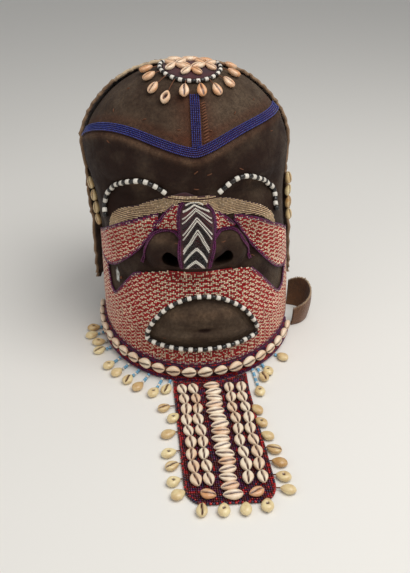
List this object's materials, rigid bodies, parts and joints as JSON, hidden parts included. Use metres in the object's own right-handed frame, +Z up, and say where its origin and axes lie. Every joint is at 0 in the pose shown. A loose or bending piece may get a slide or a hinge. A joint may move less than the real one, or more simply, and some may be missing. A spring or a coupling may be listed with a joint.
{
  "type": "helmet mask",
  "caption": "Carved helmet mask covered with hide and sewn with glass beadwork and cowrie shells, with a beaded beard panel laid out in front.",
  "frame": {"origin": "on the table, under the middle of the whole object", "axes": "+Z up, +Y from the end of the beard panel towards the back of the head, so the face looks along -Y; +X to the viewer's right"},
  "size_m": [0.2996, 0.5052, 0.3427],
  "materials": {
    "dark_hide": "dark brown hide stretched over carved wood, worn smooth and a little glossy on the high places",
    "brown_hide": "matt brown hide with a short fuzzy nap and a pale cut edge",
    "blue_beads": "glossy opaque seed beads",
    "tan_beads": "soft glossy opaque seed beads",
    "red_and_cream_beads": "glossy opaque seed beads, red and cream in zigzag rows with purple edges",
    "black_and_white_beads": "glossy opaque beads, black and white",
    "dark_red_cloth": "matt dark red and purple bead cloth",
    "cream_shell": "natural glossy cowrie shell, cream to orange pink",
    "yellow_shell": "natural glossy cowrie shell, yellowish with a darker back"
  },
  "bodies": {
    "root": {"helmet": "dark_hide", "hide_cap": "brown_hide", "neck_flap": "brown_hide", "brow_bead_band": "blue_beads", "crown_bead_band": "blue_beads", "bridge_bead_band": "tan_beads", "cheek_beadwork_left": "red_and_cream_beads", "cheek_beadwork_right": "red_and_cream_beads", "nose_beadwork_left": "red_and_cream_beads", "nose_beadwork_right": "red_and_cream_beads", "muzzle_beadwork": "red_and_cream_beads", "nose_ridge_band": "black_and_white_beads", "eye_beads_left": "black_and_white_beads", "eye_beads_right": "black_and_white_beads", "mouth_beads": "black_and_white_beads", "crown_bead_ring": "black_and_white_beads", "chin_band": "dark_red_cloth", "beard_panel": "dark_red_cloth", "crown_disc": "cream_shell", "chin_cowries": "cream_shell", "beard_cowries_outer_left": "cream_shell", "beard_cowries_inner_left": "cream_shell", "beard_cowries_middle": "cream_shell", "beard_cowries_inner_right": "cream_shell", "beard_cowries_outer_right": "cream_shell", "beard_cowrie_corner_left": "cream_shell", "beard_cowrie_corner_right": "cream_shell", "crown_shell_1": "yellow_shell", "crown_shell_2": "yellow_shell", "crown_shell_3": "yellow_shell", "crown_shell_4": "yellow_shell", "crown_shell_5": "yellow_shell", "crown_shell_6": "yellow_shell", "crown_shell_7": "yellow_shell", "crown_shell_8": "yellow_shell", "crown_shell_9": "yellow_shell", "crown_shell_10": "yellow_shell", "chin_strand_1": "yellow_shell", "chin_strand_2": "yellow_shell", "chin_strand_3": "yellow_shell", "chin_strand_4": "yellow_shell", "chin_strand_5": "yellow_shell", "chin_strand_6": "yellow_shell", "chin_strand_7": "yellow_shell", "chin_strand_8": "yellow_shell", "chin_strand_9": "yellow_shell", "chin_strand_10": "yellow_shell", "chin_strand_11": "yellow_shell", "chin_strand_12": "yellow_shell", "chin_strand_13": "yellow_shell", "chin_strand_14": "yellow_shell", "beard_fringe_left": "yellow_shell", "beard_fringe_right": "yellow_shell", "beard_fringe_foot": "yellow_shell", "side_cowries_left": "yellow_shell", "side_cowries_right": "yellow_shell"}
  },
  "joints": []
}
